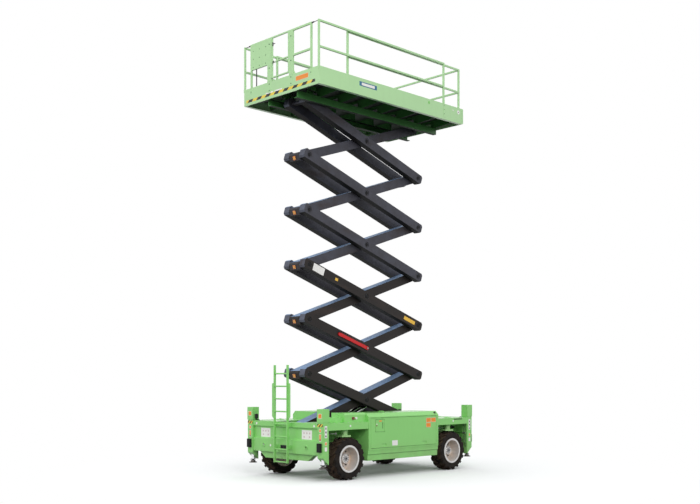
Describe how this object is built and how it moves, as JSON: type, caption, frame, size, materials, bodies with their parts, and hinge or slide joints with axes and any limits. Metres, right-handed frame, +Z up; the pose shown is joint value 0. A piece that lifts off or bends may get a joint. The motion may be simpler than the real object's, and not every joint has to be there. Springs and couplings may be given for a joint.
{
  "type": "rough-terrain scissor lift",
  "caption": "Self-propelled work platform on a tall stack of crossed arms, with steered wheels, corner outriggers and a roll-out deck.",
  "frame": {"origin": "on the ground, under the middle of the whole machine's box", "axes": "+X to the front, away from the ladder, +Y to the machine's left, +Z up"},
  "size_m": [5.105, 2.5, 9.6],
  "materials": {
    "arm_charcoal": "semi-gloss paint",
    "box_grey": "satin paint",
    "chassis_green": "gloss paint",
    "engine_grey": "paint",
    "pad_black": "matt",
    "platform_green": "gloss paint",
    "prop_red": "gloss paint",
    "rim_silver": "silver paint",
    "rod_chrome": "polished",
    "tyre_rubber": "matt"
  },
  "bodies": {
    "chassis": {"chassis_frame": "chassis_green", "wheel_bays": "chassis_green", "rear_panel": "chassis_green", "front_panel": "chassis_green", "outrigger_columns": "chassis_green", "bumper_pads": "pad_black", "right_cabinet": "chassis_green", "left_cabinet": "chassis_green", "engine_block": "engine_grey", "hydraulic_tank": "chassis_green", "tank_housing": "chassis_green", "access_ladder": "chassis_green"},
    "inner_arm_1": {"inner_arm_1": "arm_charcoal"},
    "outer_arms_1": {"outer_arms_1": "arm_charcoal"},
    "inner_arm_2": {"inner_arm_2": "arm_charcoal"},
    "outer_arms_2": {"outer_arms_2": "arm_charcoal"},
    "inner_arm_3": {"inner_arm_3": "arm_charcoal"},
    "outer_arms_3": {"outer_arms_3": "arm_charcoal"},
    "inner_arm_4": {"inner_arm_4": "arm_charcoal"},
    "outer_arms_4": {"outer_arms_4": "arm_charcoal"},
    "inner_arm_5": {"inner_arm_5": "arm_charcoal"},
    "outer_arms_5": {"outer_arms_5": "arm_charcoal"},
    "inner_arm_6": {"inner_arm_6": "arm_charcoal"},
    "outer_arms_6": {"outer_arms_6": "arm_charcoal"},
    "platform": {"platform_deck": "platform_green", "platform_underframe": "platform_green", "right_rail": "platform_green", "left_rail": "platform_green", "rear_rail": "platform_green", "control_box": "box_grey"},
    "lift_barrels": {"lift_barrels": "arm_charcoal"},
    "lift_rods": {"lift_rods": "rod_chrome"},
    "safety_prop": {"safety_prop": "prop_red"},
    "rear_right_knuckle": {"rear_right_knuckle": "chassis_green"},
    "rear_right_wheel": {"rear_right_rim": "rim_silver", "rear_right_tyre": "tyre_rubber"},
    "rear_left_knuckle": {"rear_left_knuckle": "chassis_green"},
    "rear_left_wheel": {"rear_left_rim": "rim_silver", "rear_left_tyre": "tyre_rubber"},
    "front_right_knuckle": {"front_right_knuckle": "chassis_green"},
    "front_right_wheel": {"front_right_rim": "rim_silver", "front_right_tyre": "tyre_rubber"},
    "front_left_knuckle": {"front_left_knuckle": "chassis_green"},
    "front_left_wheel": {"front_left_rim": "rim_silver", "front_left_tyre": "tyre_rubber"},
    "rear_right_leg": {"rear_right_leg": "rod_chrome"},
    "rear_left_leg": {"rear_left_leg": "rod_chrome"},
    "front_right_leg": {"front_right_leg": "rod_chrome"},
    "front_left_leg": {"front_left_leg": "rod_chrome"},
    "right_door": {"right_door": "chassis_green"},
    "left_door": {"left_door": "chassis_green"},
    "service_hatch": {"service_hatch": "chassis_green"},
    "entry_gate": {"entry_gate": "platform_green"},
    "extension": {"extension_deck": "platform_green", "extension_rail": "platform_green"}
  },
  "joints": [
    {"name": "lift", "type": "hinge", "parent": "chassis", "child": "inner_arm_1", "pos_m": [-1.9975, 0, 1.08], "axis": [0, -1, 0], "range_deg": [-14.93, 37.47]},
    {"name": "centre_pin_1", "type": "hinge", "parent": "inner_arm_1", "child": "outer_arms_1", "pos_m": [-0.2225, 0, 1.675], "axis": [0, -1, 0], "range_deg": [-74.95, 29.87]},
    {"name": "left_pin_2", "type": "hinge", "parent": "outer_arms_1", "child": "inner_arm_2", "pos_m": [-1.9975, 0, 2.27], "axis": [0, -1, 0], "range_deg": [-29.87, 74.95]},
    {"name": "centre_pin_2", "type": "hinge", "parent": "inner_arm_2", "child": "outer_arms_2", "pos_m": [-0.2225, 0, 2.865], "axis": [0, -1, 0], "range_deg": [-74.95, 29.87]},
    {"name": "left_pin_3", "type": "hinge", "parent": "outer_arms_2", "child": "inner_arm_3", "pos_m": [-1.9975, 0, 3.46], "axis": [0, -1, 0], "range_deg": [-29.87, 74.95]},
    {"name": "centre_pin_3", "type": "hinge", "parent": "inner_arm_3", "child": "outer_arms_3", "pos_m": [-0.2225, 0, 4.055], "axis": [0, -1, 0], "range_deg": [-74.95, 29.87]},
    {"name": "left_pin_4", "type": "hinge", "parent": "outer_arms_3", "child": "inner_arm_4", "pos_m": [-1.9975, 0, 4.65], "axis": [0, -1, 0], "range_deg": [-29.87, 74.95]},
    {"name": "centre_pin_4", "type": "hinge", "parent": "inner_arm_4", "child": "outer_arms_4", "pos_m": [-0.2225, 0, 5.245], "axis": [0, -1, 0], "range_deg": [-74.95, 29.87]},
    {"name": "left_pin_5", "type": "hinge", "parent": "outer_arms_4", "child": "inner_arm_5", "pos_m": [-1.9975, 0, 5.84], "axis": [0, -1, 0], "range_deg": [-29.87, 74.95]},
    {"name": "centre_pin_5", "type": "hinge", "parent": "inner_arm_5", "child": "outer_arms_5", "pos_m": [-0.2225, 0, 6.435], "axis": [0, -1, 0], "range_deg": [-74.95, 29.87]},
    {"name": "left_pin_6", "type": "hinge", "parent": "outer_arms_5", "child": "inner_arm_6", "pos_m": [-1.9975, 0, 7.03], "axis": [0, -1, 0], "range_deg": [-29.87, 74.95]},
    {"name": "centre_pin_6", "type": "hinge", "parent": "inner_arm_6", "child": "outer_arms_6", "pos_m": [-0.2225, 0, 7.625], "axis": [0, -1, 0], "range_deg": [-74.95, 29.87]},
    {"name": "platform_pin", "type": "hinge", "parent": "outer_arms_6", "child": "platform", "pos_m": [-1.9975, 0, 8.22], "axis": [0, -1, 0], "range_deg": [-14.94, 37.48]},
    {"name": "barrel_hinge", "type": "hinge", "parent": "chassis", "child": "lift_barrels", "pos_m": [-1.7475, 0, 0.72], "axis": [0, -1, 0], "range_deg": [-14.79, 37.1]},
    {"name": "rod_slide", "type": "slide", "parent": "lift_barrels", "child": "lift_rods", "axis": [0.9074, 0, 0.4203], "range_m": [-0.10825, 0.27149]},
    {"name": "prop_hinge", "type": "hinge", "parent": "outer_arms_2", "child": "safety_prop", "pos_m": [-0.2225, 0, 2.865], "axis": [0, -1, 0], "range_deg": [0, 90]},
    {"name": "rear_right_steer", "type": "hinge", "parent": "chassis", "child": "rear_right_knuckle", "pos_m": [-1.6375, -1.055, 1], "axis": [0, 0, 1], "range_deg": [-30, 30]},
    {"name": "rear_right_spin", "type": "hinge", "parent": "rear_right_knuckle", "child": "rear_right_wheel", "pos_m": [-1.6375, -1.055, 0.455], "axis": [0, 1, 0], "continuous": true},
    {"name": "rear_left_steer", "type": "hinge", "parent": "chassis", "child": "rear_left_knuckle", "pos_m": [-1.6375, 1.055, 1], "axis": [0, 0, 1], "range_deg": [-30, 30]},
    {"name": "rear_left_spin", "type": "hinge", "parent": "rear_left_knuckle", "child": "rear_left_wheel", "pos_m": [-1.6375, 1.055, 0.455], "axis": [0, 1, 0], "continuous": true},
    {"name": "front_right_steer", "type": "hinge", "parent": "chassis", "child": "front_right_knuckle", "pos_m": [1.7875, -1.055, 1], "axis": [0, 0, 1], "range_deg": [-30, 30]},
    {"name": "front_right_spin", "type": "hinge", "parent": "front_right_knuckle", "child": "front_right_wheel", "pos_m": [1.7875, -1.055, 0.455], "axis": [0, 1, 0], "continuous": true},
    {"name": "front_left_steer", "type": "hinge", "parent": "chassis", "child": "front_left_knuckle", "pos_m": [1.7875, 1.055, 1], "axis": [0, 0, 1], "range_deg": [-30, 30]},
    {"name": "front_left_spin", "type": "hinge", "parent": "front_left_knuckle", "child": "front_left_wheel", "pos_m": [1.7875, 1.055, 0.455], "axis": [0, 1, 0], "continuous": true},
    {"name": "rear_right_leg_slide", "type": "slide", "parent": "chassis", "child": "rear_right_leg", "axis": [0, 0, -1], "range_m": [0, 0.45]},
    {"name": "rear_left_leg_slide", "type": "slide", "parent": "chassis", "child": "rear_left_leg", "axis": [0, 0, -1], "range_m": [0, 0.45]},
    {"name": "front_right_leg_slide", "type": "slide", "parent": "chassis", "child": "front_right_leg", "axis": [0, 0, -1], "range_m": [0, 0.45]},
    {"name": "front_left_leg_slide", "type": "slide", "parent": "chassis", "child": "front_left_leg", "axis": [0, 0, -1], "range_m": [0, 0.45]},
    {"name": "right_door_hinge", "type": "hinge", "parent": "chassis", "child": "right_door", "pos_m": [0.075, -1.246, 1.307], "axis": [-1, 0, 0], "range_deg": [0, 100]},
    {"name": "left_door_hinge", "type": "hinge", "parent": "chassis", "child": "left_door", "pos_m": [0.075, 1.246, 1.307], "axis": [1, 0, 0], "range_deg": [0, 100]},
    {"name": "hatch_hinge", "type": "hinge", "parent": "right_door", "child": "service_hatch", "pos_m": [-0.58501, -1.246, 1.135], "axis": [0, 0, 1], "range_deg": [0, 110]},
    {"name": "gate_hinge", "type": "hinge", "parent": "platform", "child": "entry_gate", "pos_m": [-2.5125, -0.292, 8.74], "axis": [0, 0, -1], "range_deg": [0, 90]},
    {"name": "extension_slide", "type": "slide", "parent": "platform", "child": "extension", "axis": [1, 0, 0], "range_m": [0, 1.5]}
  ],
  "couplings": [
    {"joint": "centre_pin_1", "follows": "lift", "ratio": -2},
    {"joint": "left_pin_2", "follows": "lift", "ratio": 2},
    {"joint": "centre_pin_2", "follows": "lift", "ratio": -2},
    {"joint": "left_pin_3", "follows": "lift", "ratio": 2},
    {"joint": "centre_pin_3", "follows": "lift", "ratio": -2},
    {"joint": "left_pin_4", "follows": "lift", "ratio": 2},
    {"joint": "centre_pin_4", "follows": "lift", "ratio": -2},
    {"joint": "left_pin_5", "follows": "lift", "ratio": 2},
    {"joint": "centre_pin_5", "follows": "lift", "ratio": -2},
    {"joint": "left_pin_6", "follows": "lift", "ratio": 2},
    {"joint": "centre_pin_6", "follows": "lift", "ratio": -2},
    {"joint": "platform_pin", "follows": "lift", "ratio": 1},
    {"joint": "barrel_hinge", "follows": "lift", "ratio": 0.99},
    {"joint": "rod_slide", "follows": "lift", "m_per_rad": 0.415},
    {"joint": "rear_left_steer", "follows": "rear_right_steer", "ratio": 1},
    {"joint": "front_left_steer", "follows": "front_right_steer", "ratio": 1}
  ]
}
